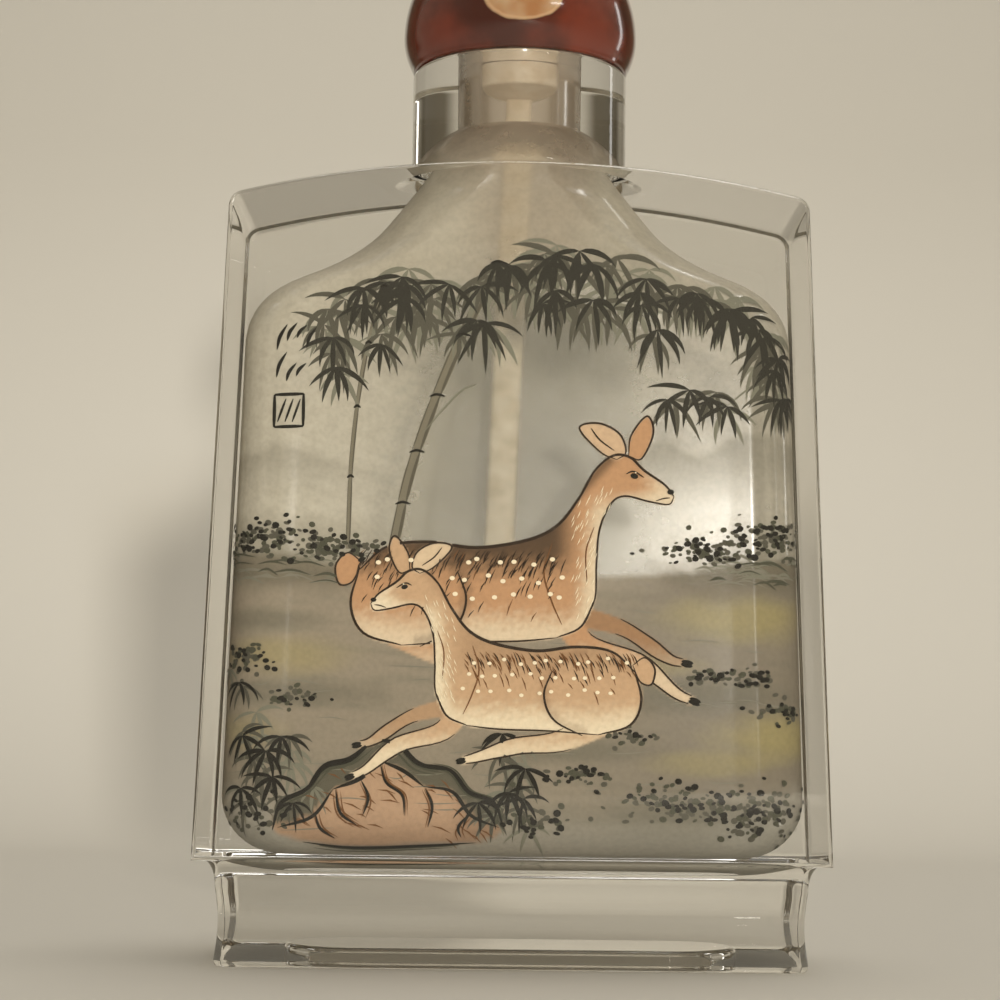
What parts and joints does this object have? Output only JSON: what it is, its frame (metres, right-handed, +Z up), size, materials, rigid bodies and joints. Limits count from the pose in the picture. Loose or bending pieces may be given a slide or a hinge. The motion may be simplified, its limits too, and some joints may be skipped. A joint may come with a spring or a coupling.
{
  "type": "snuff bottle",
  "caption": "Flat glass snuff bottle, painted inside, with an arched shoulder, a round neck, a stepped foot and a domed stone stopper that carries a spoon.",
  "frame": {"origin": "centre of the bottle's outline, on the plane that its foot stands on", "axes": "+Z up along the neck, +X to the right across the wide face, the painted front faces -Y"},
  "size_m": [0.048, 0.022, 0.0838],
  "materials": {
    "glass": "clear polished glass, frosted and painted inside",
    "carnelian": "polished carnelian",
    "collar": "pale matt collar",
    "bone": "satin bone"
  },
  "bodies": {
    "root": {"bottle": "glass", "stopper": "carnelian", "plug": "collar", "spoon": "bone"}
  },
  "joints": []
}
